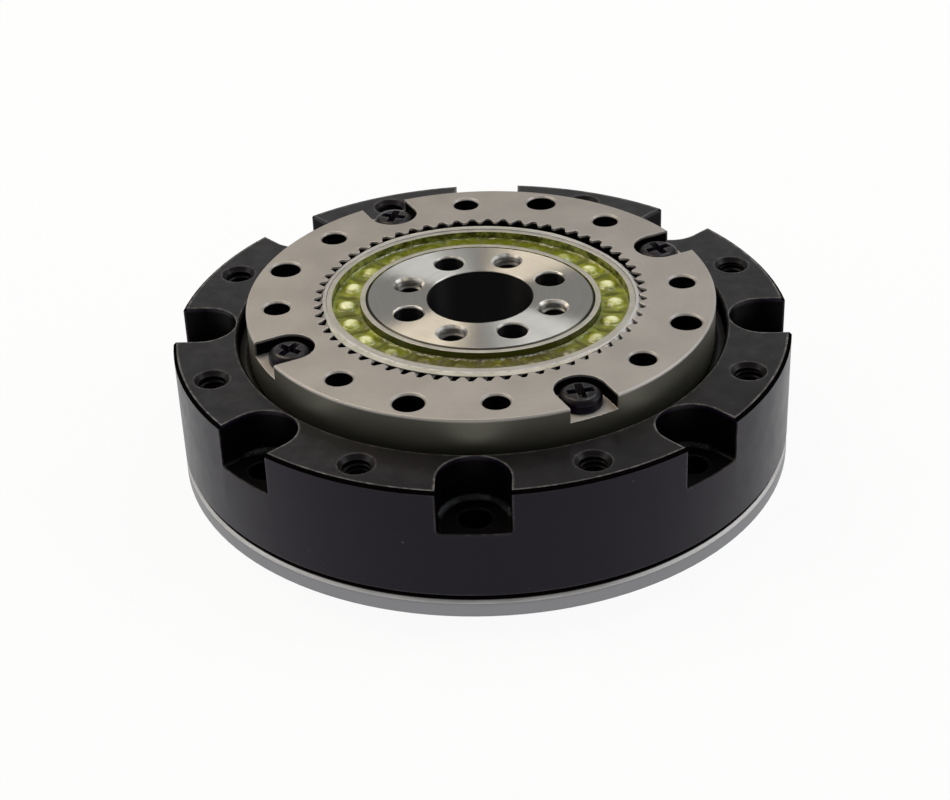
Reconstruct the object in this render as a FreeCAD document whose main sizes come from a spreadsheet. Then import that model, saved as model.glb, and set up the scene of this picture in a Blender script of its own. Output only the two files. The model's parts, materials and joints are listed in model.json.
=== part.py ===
import FreeCAD, Part
import math
import os
import re
import Sketcher
from FreeCAD import Placement, Rotation, Vector

# Flat strain wave gearbox: a toothed cup that an elliptical ball bearing bends, inside a crossed
# roller bearing. Z is the gear axis, the foot of the flange is at zero, and sizes are millimetres.

# Driving sizes. Angles are in degrees from the X axis, and diameters are full widths.
SIZES = {
    # black bearing ring that carries everything
    "housing_diameter": 70.0,
    "housing_height": 13.0,
    "housing_wall": 7.3,
    "housing_chamfer": 0.3,
    "housing_angle": -3.9,
    "pocket_count": 8,
    "pocket_width": 7.8,
    "pocket_depth": 5.1,
    "pocket_fillet": 0.5,
    "bolt_inset": 3.0,
    "bolt_hole": 3.5,
    "bolt_chamfer": 0.1,
    "tap_inset": 3.3,
    "tap_hole": 3.0,
    "tap_chamfer": 0.5,
    "tap_depth": 6.0,
    # flange and thin cup
    "flange_thickness": 2.6,
    "flange_lap": 0.3,
    "flange_chamfer": 0.2,
    "flange_edge": 0.8,
    "diaphragm_thickness": 0.45,
    "diaphragm_recess": 0.7,
    "diaphragm_fillet": 0.9,
    "cup_wall": 0.37,
    # teeth of the cup and of the ring round it
    "flexspline_teeth": 60,
    "circular_teeth": 62,
    "tooth_flank": 30.0,
    "tooth_addendum": 0.425,
    "tooth_dedendum": 0.405,
    "tip_clearance": 0.05,
    "flank_clearance": 0.03,
    "tooth_length": 5.6,
    "tooth_bevel": 0.8,
    "wave_angle": -20.0,
    # ring with the inside teeth
    "spline_gap": 1.2,
    "spline_width": 7.65,
    "spline_height": 5.3,
    "spline_sink": 2.0,
    "spline_chamfer": 0.15,
    "spline_angle": 1.7,
    "output_tap_inset": 3.5,
    "output_tap_hole": 3.0,
    "output_tap_chamfer": 0.2,
    "output_pin_inset": 2.65,
    "output_pin_hole": 3.5,
    "output_pin_chamfer": 0.2,
    "notch_inset": 3.15,
    "notch_width": 5.7,
    "notch_depth": 1.75,
    "register_wall": 0.6,
    "register_height": 1.0,
    # screws
    "screw_thread": 2.5,
    "screw_clearance": 0.1,
    "screw_point": 0.5,
    "screw_grip": 2.45,
    "screw_head": 4.7,
    "screw_head_height": 1.5,
    "screw_head_side": 0.9,
    "screw_head_flat": 3.3,
    "screw_count": 4,
    "flange_screw_length": 6.0,
    # crossed roller bearing
    "raceway_inset": 0.5,
    "raceway_lift": 5.0,
    "roller_diameter": 3.0,
    "roller_end_play": 0.15,
    "roller_chamfer": 0.2,
    "roller_count": 40,
    "roller_clearance": 0.08,
    "spacer_play": 0.3,
    "spacer_thickness": 1.0,
    "inner_ring_step": 0.1,
    "inner_ring_lift": 1.4,
    "barrel_clearance": 0.5,
    "seal_height": 2.0,
    "seal_drop": 0.1,
    "seal_lip_gap": 0.15,
    "seal_wall": 0.35,
    "o_ring_section": 0.8,
    "spline_o_ring_inset": 1.0,
    "flange_o_ring_inset": 1.5,
    # flexible ball bearing and its oval hub
    "bearing_width": 5.0,
    "bearing_drop": 0.2,
    "outer_race_wall": 0.62,
    "inner_race_wall": 0.6,
    "race_fit": 0.03,
    "ball_diameter": 3.572,
    "ball_count": 22,
    "ball_clearance": 0.03,
    "groove_depth": 0.2,
    "cage_width": 1.2,
    "cage_height": 2.9,
    "cage_drop": 2.0,
    "cage_clearance": 0.12,
    "rim_drop": 0.1,
    "hub_drop": 0.15,
    "hub_bore": 12.0,
    "hub_bore_chamfer": 0.2,
    "hub_angle": 21.6,
    "hub_hole_inset": 2.75,
    "hub_tap_hole": 3.0,
    "hub_tap_chamfer": 0.35,
    "hub_pin_hole": 3.4,
    "hub_pin_chamfer": 0.15,
    "hub_chamfer": 0.3,
    "hub_boss_wall": 1.95,
    "hub_boss_height": 4.5,
    "hub_shoulder": 0.35,
    "hub_shoulder_height": 0.6,
    # small gap between pieces of one body that would share a face
    "seat_gap": 0.02,
}

# Sizes that follow from the driving ones, written with the same names.
DERIVED = {
    "housing_top": "flange_thickness + housing_height",
    "pocket_floor": "housing_top - pocket_depth",
    "pocket_step": "360 / pocket_count",
    "bolt_circle": "housing_diameter - 2 * bolt_inset",
    "tap_circle": "housing_diameter - 2 * tap_inset",
    # mouths of holes, from each hole and the chamfer round it
    "bolt_mouth": "bolt_hole + 2 * bolt_chamfer",
    "tap_mouth": "tap_hole + 2 * tap_chamfer",
    "output_tap_mouth": "output_tap_hole + 2 * output_tap_chamfer",
    "output_pin_mouth": "output_pin_hole + 2 * output_pin_chamfer",
    "hub_bore_mouth": "hub_bore + 2 * hub_bore_chamfer",
    "hub_tap_mouth": "hub_tap_hole + 2 * hub_tap_chamfer",
    "hub_pin_mouth": "hub_pin_hole + 2 * hub_pin_chamfer",
    # rings that lie inside one another, from the black one inwards
    "housing_bore": "housing_diameter - 2 * housing_wall",
    "flange_bore": "housing_bore / 2 + flange_lap",
    "raceway_diameter": "housing_bore - 2 * raceway_inset",
    "spline_diameter": "housing_bore - 2 * spline_gap",
    "inner_ring_diameter": "spline_diameter - 2 * inner_ring_step",
    "output_tap_circle": "spline_diameter - 2 * output_tap_inset",
    "output_pin_circle": "spline_diameter - 2 * output_pin_inset",
    "notch_circle": "spline_diameter - 2 * notch_inset",
    # heights of what the flange and the black ring carry
    "spline_seat": "housing_top - spline_sink",
    "spline_top": "spline_seat + spline_height",
    "notch_floor": "spline_top - notch_depth",
    "raceway_height": "flange_thickness + raceway_lift",
    "inner_ring_foot": "flange_thickness + inner_ring_lift",
    "seal_top": "spline_seat - seal_drop",
    "rim_top": "spline_top - rim_drop",
    "rim_foot": "rim_top - tooth_length",
    "hub_top": "spline_top - hub_drop",
    "bearing_top": "spline_top - bearing_drop",
    "bearing_foot": "bearing_top - bearing_width",
    "ball_height": "bearing_top - bearing_width / 2",
    # the wave lifts the rim by half the difference between the two pitch circles
    "circular_pitch": "spline_diameter / 2 - spline_width - tooth_dedendum",
    "tooth_module": "2 * circular_pitch / circular_teeth",
    "wave": "tooth_module * (circular_teeth - flexspline_teeth) / 2",
    "flexspline_pitch": "tooth_module * flexspline_teeth / 2",
    "circular_tip": "circular_pitch - tooth_addendum",
    "circular_root": "circular_pitch + tooth_dedendum",
    "flexspline_root": "flexspline_pitch - tooth_addendum - tip_clearance",
    "flexspline_tip": "flexspline_pitch + tooth_dedendum - tip_clearance",
    # bore that the bent rim passes through, and what is centred on it
    "inner_ring_bore": "2 * (flexspline_tip + wave + barrel_clearance)",
    "register_diameter": "inner_ring_bore + 2 * register_wall",
    "spline_o_ring_diameter": "register_diameter + 2 * spline_o_ring_inset",
    "flange_o_ring_diameter": "housing_bore + 2 * flange_o_ring_inset",
    # mean radii of the oval layers, from the cup wall inwards
    "cup_inside": "flexspline_root - cup_wall",
    "outer_race_outside": "cup_inside - race_fit",
    "outer_race_inside": "outer_race_outside - outer_race_wall",
    "groove_radius": "ball_diameter / 2 + ball_clearance",
    "ball_circle": "outer_race_inside + groove_depth - groove_radius",
    "inner_race_outside": "ball_circle - groove_radius + groove_depth",
    "inner_race_inside": "inner_race_outside - inner_race_wall",
    "cam_radius": "inner_race_inside - seat_gap",
    "hub_circle": "hub_bore + 2 * hub_hole_inset",
    "hub_boss_diameter": "hub_circle + 2 * hub_boss_wall",
    # square tunnel that the crossed rollers run in, measured across its corners
    "tunnel": "(roller_diameter / 2 + roller_clearance) * sqrt(2)",
    "roller_length": "roller_diameter - roller_end_play",
    "spacer_diameter": "roller_diameter - spacer_play",
    "diaphragm_top": "diaphragm_recess + diaphragm_thickness",
    "barrel_foot": "diaphragm_top + diaphragm_fillet + diaphragm_thickness",
}

doc = FreeCAD.newDocument("strain_wave_gearbox")
sheet = doc.addObject("Spreadsheet::Sheet", "sizes")
for row, (alias, number) in enumerate(SIZES.items(), start=1):
    sheet.set(f"A{row}", alias)
    sheet.set(f"B{row}", str(number))
    sheet.setAlias(f"B{row}", alias)
doc.recompute()


def bind(text):
    """An expression written with the names above, as the document reads it."""

    def swap(match):
        name = match.group(0)
        if name in DERIVED:
            return f"({bind(DERIVED[name])})"
        return f"sizes.{name}" if name in SIZES else name

    return re.sub(r"[a-z_]+", swap, text)


def value(text):
    return float(sheet.evalExpression(bind(text).replace("sizes.", "")))


# Sketches and features

def origin_part(body, role):
    return next(item for item in body.Origin.OriginFeatures if item.Role == role)


def new_body(label):
    body = doc.addObject("PartDesign::Body", label)
    body.Label = label
    return body


def turn_by(item, angle):
    item.setExpression("Placement.Rotation.Angle", f"{bind(angle)} * 1 deg")


def new_sketch(body, name, plane="XY_Plane", height="0", turn="0"):
    sketch = body.newObject("Sketcher::SketchObject", f"{body.Label}_{name}")
    sketch.AttachmentSupport = [(origin_part(body, plane), "")]
    sketch.MapMode = "FlatFace"
    sketch.setExpression("AttachmentOffset.Base.z", bind(height))
    sketch.setExpression("AttachmentOffset.Rotation.Angle", f"({bind(turn)}) * 1 deg")
    return sketch


def fix(sketch, kind, text, *places):
    """A dimension of a sketch that follows the sheet."""
    spot = sketch.addConstraint(Sketcher.Constraint(kind, *places, value(text)))
    sketch.setExpression(f"Constraints[{spot}]", bind(text))


def outline(sketch, corners):
    """Closed straight outline through corners, each a pair of expressions."""
    points = [Vector(value(x), value(y), 0) for x, y in corners]
    count = len(points)
    for i in range(count):
        sketch.addGeometry(Part.LineSegment(points[i], points[(i + 1) % count]), False)
    for i in range(count):
        sketch.addConstraint(Sketcher.Constraint("Coincident", i, 2, (i + 1) % count, 1))
    for i, (x, y) in enumerate(corners):
        fix(sketch, "DistanceX", x, -1, 1, i, 1)
        fix(sketch, "DistanceY", y, -1, 1, i, 1)


def circle(sketch, diameter, place="0"):
    """A circle on the sketch's X axis."""
    spot = sketch.addGeometry(
        Part.Circle(Vector(value(place), 0, 0), Vector(0, 0, 1), value(diameter) / 2), False
    )
    fix(sketch, "DistanceX", place, -1, 1, spot, 3)
    fix(sketch, "DistanceY", "0", -1, 1, spot, 3)
    fix(sketch, "Diameter", diameter, spot)


def oval(sketch, radius):
    """An ellipse that is the wave's height longer and narrower than a circle of that radius."""
    half_long, half_short = value(f"{radius} + wave"), value(f"{radius} - wave")
    spot = sketch.addGeometry(
        Part.Ellipse(Vector(half_long, 0, 0), Vector(0, half_short, 0), Vector(0, 0, 0)), False
    )
    sketch.exposeInternalGeometry(spot)
    sketch.addConstraint(Sketcher.Constraint("Coincident", spot, 3, -1, 1))
    sketch.addConstraint(Sketcher.Constraint("PointOnObject", spot + 1, 1, -1))
    fix(sketch, "Distance", f"2 * ({radius} + wave)", spot + 1)
    fix(sketch, "Distance", f"2 * ({radius} - wave)", spot + 2)


def slot(sketch, centre, width, reach):
    """A slot with a half round end towards the axis, open outwards as far as reach."""
    middle, half, far = value(centre), value(width) / 2, value(reach)
    round_end = Part.Circle(Vector(middle, 0, 0), Vector(0, 0, 1), half)
    corners = [Vector(middle, -half, 0), Vector(far, -half, 0), Vector(far, half, 0), Vector(middle, half, 0)]
    sketch.addGeometry(Part.ArcOfCircle(round_end, math.pi / 2, 3 * math.pi / 2), False)
    for start, end in zip(corners, corners[1:]):
        sketch.addGeometry(Part.LineSegment(start, end), False)
    sketch.addConstraint(Sketcher.Constraint("Tangent", 0, 2, 1, 1))
    sketch.addConstraint(Sketcher.Constraint("Coincident", 1, 2, 2, 1))
    sketch.addConstraint(Sketcher.Constraint("Coincident", 2, 2, 3, 1))
    sketch.addConstraint(Sketcher.Constraint("Tangent", 3, 2, 0, 1))
    sketch.addConstraint(Sketcher.Constraint("Horizontal", 1))
    sketch.addConstraint(Sketcher.Constraint("Vertical", 2))
    sketch.addConstraint(Sketcher.Constraint("PointOnObject", 0, 3, -1))
    fix(sketch, "DistanceX", centre, -1, 1, 0, 3)
    fix(sketch, "Radius", f"({width}) / 2", 0)
    fix(sketch, "DistanceX", reach, -1, 1, 1, 2)


def feature(body, kind, name, sketch):
    item = body.newObject(f"PartDesign::{kind}", f"{body.Label}_{name}")
    item.Profile = sketch
    return item


def must_cut(body, name, before):
    doc.recompute()
    if body.Shape.Volume >= before - 1e-6:
        raise ValueError(f"{body.Label} {name} cuts nothing")


def pad(body, name, sketch, length):
    item = feature(body, "Pad", name, sketch)
    item.setExpression("Length", bind(length))
    doc.recompute()
    return item


def pocket(body, name, sketch, depth=None):
    before = body.Shape.Volume
    item = feature(body, "Pocket", name, sketch)
    if depth is None:
        item.Type = "ThroughAll"
    else:
        item.setExpression("Length", bind(depth))
    must_cut(body, name, before)
    return item


def revolve(body, name, sketch, axis="V_Axis"):
    item = feature(body, "Revolution", name, sketch)
    item.ReferenceAxis = (sketch, [axis])
    item.Angle = 360
    doc.recompute()
    return item


def drill(body, name, place, height, turn, size, mouth=None, depth=None):
    """A hole at a distance from the axis, going down from a height, with a countersunk mouth."""
    sketch = new_sketch(body, f"{name}_centre", height=height, turn=turn)
    circle(sketch, size, place)
    doc.recompute()
    before = body.Shape.Volume
    item = feature(body, "Hole", name, sketch)
    item.Threaded = False
    item.setExpression("Diameter", bind(size))
    if mouth:
        item.HoleCutType = "Countersink"
        item.HoleCutCustomValues = True
        item.setExpression("HoleCutDiameter", bind(mouth))
        item.HoleCutCountersinkAngle = 90
    if depth is None:
        item.DepthType = "ThroughAll"
    else:
        item.DepthType = "Dimension"
        item.setExpression("Depth", bind(depth))
        item.DrillPoint = "Flat"
    must_cut(body, name, before)
    return item


def ring_of(body, name, item, count):
    """Copies of a feature spaced evenly round the axis."""
    pattern = body.newObject("PartDesign::PolarPattern", f"{body.Label}_{name}_ring")
    pattern.Originals = [item]
    pattern.Axis = (origin_part(body, "Z_Axis"), [""])
    pattern.Angle = 360
    pattern.setExpression("Occurrences", bind(count))
    body.Tip = pattern
    doc.recompute()
    return pattern


def soften(body, kind, name, base, size, is_edge):
    """A fillet or chamfer on the edges that pass a test of their shape."""
    names = [f"Edge{n}" for n, edge in enumerate(base.Shape.Edges, start=1) if is_edge(edge)]
    item = body.newObject(f"PartDesign::{kind}", f"{body.Label}_{name}")
    item.Base = (base, names)
    item.setExpression("Radius" if kind == "Fillet" else "Size", bind(size))
    body.Tip = item
    doc.recompute()
    return item


def lies_flat_at(edge, height):
    return abs(edge.BoundBox.ZMin - height) < 1e-4 and abs(edge.BoundBox.ZMax - height) < 1e-4


def turned_ring(label, corners):
    """A body of revolution from the corners of half its section, as radius and height."""
    body = new_body(label)
    sketch = new_sketch(body, "section", "XZ_Plane")
    outline(sketch, corners)
    revolve(body, "turned", sketch)
    return body


def round_ring(label, diameter, height, section):
    """An O-ring: a round section swept round the axis."""
    body = new_body(label)
    sketch = new_sketch(body, "section", "XZ_Plane")
    spot = sketch.addGeometry(
        Part.Circle(Vector(value(diameter) / 2, value(height), 0), Vector(0, 0, 1), value(section) / 2), False
    )
    fix(sketch, "DistanceX", f"({diameter}) / 2", -1, 1, spot, 3)
    fix(sketch, "DistanceY", height, -1, 1, spot, 3)
    fix(sketch, "Diameter", section, spot)
    revolve(body, "turned", sketch)
    return body


# Black bearing ring: outer raceway, eight bolt pockets and eight tapped holes

def make_housing():
    bore, outside, edge = "housing_bore / 2", "housing_diameter / 2", "housing_chamfer"
    mouth = "(tunnel - housing_bore / 2 + raceway_diameter / 2)"
    groove_in = "(flange_o_ring_diameter - o_ring_section) / 2 - seat_gap"
    groove_out = "(flange_o_ring_diameter + o_ring_section) / 2 + seat_gap"
    body = turned_ring("housing", [
        (bore, "flange_thickness"),
        (groove_in, "flange_thickness"),
        (groove_in, "flange_thickness + o_ring_section"),
        (groove_out, "flange_thickness + o_ring_section"),
        (groove_out, "flange_thickness"),
        (f"{outside} - {edge}", "flange_thickness"),
        (outside, f"flange_thickness + {edge}"),
        (outside, f"housing_top - {edge}"),
        (f"{outside} - {edge}", "housing_top"),
        (f"{bore} + {edge}", "housing_top"),
        (bore, f"housing_top - {edge}"),
        (bore, f"raceway_height + {mouth}"),
        ("raceway_diameter / 2 + tunnel", "raceway_height"),
        (bore, f"raceway_height - {mouth}"),
    ])
    sketch = new_sketch(body, "pocket_outline", height="housing_top")
    slot(sketch, "bolt_circle / 2", "pocket_width", "housing_diameter / 2 + pocket_width")
    cut = pocket(body, "pocket", sketch, "pocket_depth")
    pockets = ring_of(body, "pocket", cut, "pocket_count")
    floor = value("pocket_floor")
    soften(body, "Fillet", "pocket_corner", pockets, "pocket_fillet",
           lambda edge: lies_flat_at(edge, floor) and not is_rim_arc(edge))
    hole = drill(body, "bolt_hole", "bolt_circle / 2", "pocket_floor", "0", "bolt_hole", "bolt_mouth")
    ring_of(body, "bolt_hole", hole, "pocket_count")
    tap = drill(body, "tapped_hole", "tap_circle / 2", "housing_top", "pocket_step / 2",
                "tap_hole", "tap_mouth", "tap_depth")
    ring_of(body, "tapped_hole", tap, "pocket_count")
    sketch = new_sketch(body, "screw_hole_outline", height="flange_thickness + flange_screw_length",
                        turn="pocket_step / 2")
    circle(sketch, "screw_thread + 2 * seat_gap", "tap_circle / 2")
    screw_hole = pocket(body, "screw_hole", sketch)
    ring_of(body, "screw_hole", screw_hole, "screw_count")
    turn_by(body, "housing_angle")
    return body


def is_rim_arc(edge):
    """Is this edge part of the ring's own outside, round the gear axis?"""
    round_edge = isinstance(edge.Curve, Part.Circle)
    return round_edge and abs(edge.Curve.Radius - value("housing_diameter / 2")) < 1e-4


# Ring with inside teeth, which carries the load

def make_circular_spline():
    outside, edge = "spline_diameter / 2", "spline_chamfer"
    body = turned_ring("circular_spline", [
        ("circular_tip", "spline_seat"),
        ("inner_ring_bore / 2", "spline_seat"),
        ("inner_ring_bore / 2", "spline_seat - register_height"),
        ("register_diameter / 2", "spline_seat - register_height"),
        ("register_diameter / 2", "spline_seat"),
        (outside, "spline_seat"),
        (outside, f"spline_top - {edge}"),
        (f"{outside} - {edge}", "spline_top"),
        ("circular_tip", "spline_top"),
    ])
    flank = "tan(tooth_flank * 1 deg)"
    half_pitch_line = "pi * tooth_module / 4"
    half_root = f"({half_pitch_line} - tooth_dedendum * {flank})"
    half_open = f"({half_pitch_line} + 2 * tooth_addendum * {flank})"
    open_radius = "circular_pitch - 2 * tooth_addendum"
    sketch = new_sketch(body, "tooth_space", height="spline_top", turn="wave_angle - spline_angle")
    outline(sketch, [
        (open_radius, f"-{half_open}"),
        ("circular_root", f"-{half_root}"),
        ("circular_root", half_root),
        (open_radius, half_open),
    ])
    space = pocket(body, "tooth", sketch)
    ring_of(body, "tooth", space, "circular_teeth")
    sketch = new_sketch(body, "notch_outline", height="spline_top", turn="pocket_step / 2")
    slot(sketch, "notch_circle / 2", "notch_width", "spline_diameter / 2 + notch_width")
    notch = pocket(body, "notch", sketch, "notch_depth")
    ring_of(body, "notch", notch, "screw_count")
    sketch = new_sketch(body, "screw_hole_outline", height="spline_top", turn="pocket_step / 2")
    circle(sketch, "screw_thread + screw_clearance", "notch_circle / 2")
    screw_hole = pocket(body, "screw_hole", sketch)
    ring_of(body, "screw_hole", screw_hole, "screw_count")
    tap = drill(body, "tapped_hole", "output_tap_circle / 2", "spline_top", "0",
                "output_tap_hole", "output_tap_mouth")
    ring_of(body, "tapped_hole", tap, "pocket_count")
    pin = drill(body, "pin_hole", "output_pin_circle / 2", "spline_top", "1.5 * pocket_step",
                "output_pin_hole", "output_pin_mouth")
    ring_of(body, "pin_hole", pin, "screw_count")
    turn_by(body, "spline_angle")
    return body


# Split inner ring of the crossed roller bearing

def make_inner_rings():
    bore, outside = "inner_ring_bore / 2", "inner_ring_diameter / 2"
    shelf = "(tunnel - raceway_diameter / 2 + inner_ring_diameter / 2)"
    apex = "raceway_diameter / 2 - tunnel"
    seat = "register_diameter / 2 + seat_gap"
    groove_in = "(spline_o_ring_diameter - o_ring_section) / 2 - seat_gap"
    groove_out = "(spline_o_ring_diameter + o_ring_section) / 2 + seat_gap"
    upper = turned_ring("bearing_inner_ring_upper", [
        (bore, "raceway_height"),
        (apex, "raceway_height"),
        (outside, f"raceway_height + {shelf}"),
        (outside, "spline_seat"),
        (groove_out, "spline_seat"),
        (groove_out, "spline_seat - o_ring_section"),
        (groove_in, "spline_seat - o_ring_section"),
        (groove_in, "spline_seat"),
        (seat, "spline_seat"),
        (seat, "spline_seat - register_height - seat_gap"),
        (bore, "spline_seat - register_height - seat_gap"),
    ])
    lower = turned_ring("bearing_inner_ring_lower", [
        (bore, "inner_ring_foot"),
        (outside, "inner_ring_foot"),
        (outside, f"raceway_height - {shelf}"),
        (apex, "raceway_height"),
        (bore, "raceway_height"),
    ])
    for ring, height, size in (
        (upper, "spline_seat", "screw_thread + screw_clearance"),
        (lower, "raceway_height", "screw_thread + 2 * seat_gap"),
    ):
        sketch = new_sketch(ring, "screw_hole_outline", height=height, turn="pocket_step / 2")
        circle(sketch, size, "notch_circle / 2")
        screw_hole = pocket(ring, "screw_hole", sketch)
        ring_of(ring, "screw_hole", screw_hole, "screw_count")
        turn_by(ring, "spline_angle")
    return [upper, lower]


# Crossed rollers: every second one leans the other way, with a spacer between each two

def make_rollers():
    rollers = new_body("crossed_rollers")
    half, radius, edge = "(roller_length / 2)", "roller_diameter / 2", "roller_chamfer"
    for name, lean, turn in (("in", 45, 0), ("out", -45, 1)):
        step = 360 / value("roller_count") * turn
        sketch = rollers.newObject("Sketcher::SketchObject", f"roller_{name}_section")
        sketch.AttachmentSupport = [(origin_part(rollers, "XZ_Plane"), "")]
        sketch.MapMode = "FlatFace"
        round_axis = Rotation(Vector(0, 1, 0), step)
        place = round_axis.multVec(Vector(value("raceway_diameter / 2"), value("raceway_height"), 0))
        sketch.AttachmentOffset = Placement(place, round_axis.multiply(Rotation(Vector(0, 0, 1), lean)))
        outline(sketch, [
            (f"-{half}", "0"),
            (half, "0"),
            (half, f"{radius} - {edge}"),
            (f"{half} - {edge}", radius),
            (f"{edge} - {half}", radius),
            (f"-{half}", f"{radius} - {edge}"),
        ])
        roller = revolve(rollers, f"roller_{name}", sketch, "H_Axis")
        ring_of(rollers, f"roller_{name}", roller, "roller_count / 2")
    spacers = new_body("roller_spacers")
    sketch = new_sketch(spacers, "outline", "XZ_Plane")
    spot = sketch.addGeometry(Part.Circle(
        Vector(value("raceway_diameter / 2"), value("raceway_height"), 0), Vector(0, 0, 1),
        value("spacer_diameter / 2")), False)
    fix(sketch, "DistanceX", "raceway_diameter / 2", -1, 1, spot, 3)
    fix(sketch, "DistanceY", "raceway_height", -1, 1, spot, 3)
    fix(sketch, "Diameter", "spacer_diameter", spot)
    disc = feature(spacers, "Pad", "disc", sketch)
    disc.SideType = "Symmetric"
    disc.setExpression("Length", bind("spacer_thickness"))
    doc.recompute()
    ring_of(spacers, "disc", disc, "roller_count")
    turn_by(spacers, "180 / roller_count")
    return [rollers, spacers]


# Rubber pieces

def make_seals():
    bore, wall = "(housing_bore / 2 - seat_gap)", "seal_wall"
    lip = "inner_ring_diameter / 2 + seal_lip_gap"
    seal = turned_ring("bearing_seal", [
        (bore, "seal_top - seal_height"),
        (bore, "seal_top"),
        (f"{lip} + {wall}", "seal_top"),
        (lip, f"seal_top - {wall}"),
        (lip, "seal_top - seal_height / 2"),
        (f"{lip} + {wall} / 2", "seal_top - seal_height / 2"),
        (f"{lip} + {wall}", f"seal_top - 2 * {wall}"),
        (f"{bore} - {wall}", f"seal_top - 2 * {wall}"),
        (f"{bore} - {wall}", "seal_top - seal_height"),
    ])
    under_spline = round_ring("spline_o_ring", "spline_o_ring_diameter",
                              "spline_seat - o_ring_section / 2", "o_ring_section")
    on_flange = round_ring("flange_o_ring", "flange_o_ring_diameter",
                           "flange_thickness + o_ring_section / 2", "o_ring_section")
    return [seal, under_spline, on_flange]


# Screws: pan heads in the notches, and countersunk ones under the flange

def make_screws():
    shank, head = "screw_thread / 2", "screw_head / 2"
    foot, top = "(raceway_height - screw_grip)", "(notch_floor + screw_head_height)"
    spline_screws = new_body("spline_screws")
    flange_screws = new_body("flange_screws")
    profiles = (
        (spline_screws, "notch_circle / 2", "spline_angle", [
            ("0", foot),
            (f"{shank} - screw_point", foot),
            (shank, f"{foot} + screw_point"),
            (shank, "notch_floor"),
            (head, "notch_floor"),
            (head, "notch_floor + screw_head_side"),
            ("screw_head_flat / 2", top),
            ("0", top),
        ]),
        (flange_screws, "tap_circle / 2", "housing_angle", [
            ("0", "seat_gap"),
            (f"{head} - seat_gap", "seat_gap"),
            (shank, f"{head} - {shank}"),
            (shank, "flange_screw_length - seat_gap"),
            ("0", "flange_screw_length - seat_gap"),
        ]),
    )
    for body, place, angle, corners in profiles:
        sketch = new_sketch(body, "section", "XZ_Plane")
        sketch.setExpression("AttachmentOffset.Base.x", bind(place))
        outline(sketch, corners)
        screw = revolve(body, "turned", sketch)
        ring_of(body, "screw", screw, "screw_count")
        turn_by(body, f"({angle} + pocket_step / 2)")
    return [spline_screws, flange_screws]


# Toothed cup: flange, thin diaphragm, a wall that goes from round to oval, and the toothed rim

def make_flexspline():
    foot = turned_ring("flexspline_foot", [
        ("cup_inside", "diaphragm_recess"),
        ("flange_bore", "diaphragm_recess"),
        ("flange_bore", "0"),
        ("housing_diameter / 2 - flange_chamfer", "0"),
        ("housing_diameter / 2", "flange_chamfer"),
        ("housing_diameter / 2", "flange_thickness - flange_edge"),
        ("housing_diameter / 2 - flange_edge", "flange_thickness"),
        ("flange_bore - flange_lap", "flange_thickness"),
        ("flange_bore - flange_lap", "diaphragm_top"),
        ("flexspline_root", "diaphragm_top"),
        ("flexspline_root", "barrel_foot"),
        ("cup_inside", "barrel_foot"),
    ])
    turned = foot.Tip
    inside, outside, low = value("cup_inside"), value("flexspline_root"), value("diaphragm_top")
    soften(foot, "Fillet", "cup_corner", turned, "diaphragm_fillet", lambda edge: (
        isinstance(edge.Curve, Part.Circle) and (
            (lies_flat_at(edge, low) and abs(edge.Curve.Radius - outside) < 1e-4)
            or (lies_flat_at(edge, value("diaphragm_recess")) and abs(edge.Curve.Radius - inside) < 1e-4)
        )
    ))
    hole = drill(foot, "bolt_hole", "bolt_circle / 2", "flange_thickness", "housing_angle - wave_angle",
                 "bolt_hole")
    ring_of(foot, "bolt_hole", hole, "pocket_count")
    sketch = new_sketch(foot, "screw_hole_outline", height="flange_thickness",
                        turn="housing_angle - wave_angle + pocket_step / 2")
    circle(sketch, "screw_thread + screw_clearance", "tap_circle / 2")
    screw_hole = pocket(foot, "screw_hole", sketch)
    ring_of(foot, "screw_hole", screw_hole, "screw_count")
    barrel = oval_to_round("flexspline_root").cut(oval_to_round("cup_inside"))
    rim = doc.addObject("Part::Feature", "flexspline_rim")
    rim.Shape = toothed_rim()
    wall = doc.addObject("Part::Feature", "flexspline_barrel")
    wall.Shape = barrel
    cup = doc.addObject("Part::MultiFuse", "flexspline_cup")
    cup.Shapes = [foot, wall, rim]
    sinks = doc.addObject("Part::Feature", "flange_countersinks")
    sinks.Shape = countersinks()
    whole = doc.addObject("Part::Cut", "flexspline")
    whole.Base = cup
    whole.Tool = sinks
    whole.Label = "flexspline"
    turn_by(whole, "wave_angle")
    return whole


def oval_wire(radius, height):
    wave = value("wave")
    curve = Part.Ellipse(Vector(0, 0, height), value(radius) + wave, value(radius) - wave)
    return Part.Wire(curve.toShape())


def oval_to_round(radius):
    """Solid cone of straight lines from the oval under the rim to a circle at the diaphragm."""
    foot = Part.Circle(Vector(0, 0, value("barrel_foot")), Vector(0, 0, 1), value(radius))
    return Part.makeLoft([oval_wire(radius, value("rim_foot")), Part.Wire(foot.toShape())], True, True)


def tooth_corners(number):
    """Corners of one tooth of the bent rim, going round."""
    wave, pitch = value("wave"), value("flexspline_pitch")
    slope = math.tan(math.radians(value("tooth_flank")))
    half = math.pi * value("tooth_module") / 4 - value("flank_clearance")
    root, tip = value("flexspline_root") - pitch, value("flexspline_tip") - pitch
    angle = 2 * math.pi * number / value("flexspline_teeth")
    twice = math.sin(2 * angle)
    around = angle - wave / (2 * pitch) * twice
    lean = angle + 1.5 * wave / pitch * twice
    out, along = Vector(math.cos(lean), math.sin(lean), 0), Vector(-math.sin(lean), math.cos(lean), 0)
    centre = Vector(math.cos(around), math.sin(around), 0) * (pitch + wave * math.cos(2 * angle))
    sides = ((root, -1), (tip, -1), (tip, 1), (root, 1))
    return [centre + out * rise + along * (side * (half - rise * slope)) for rise, side in sides]


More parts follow.
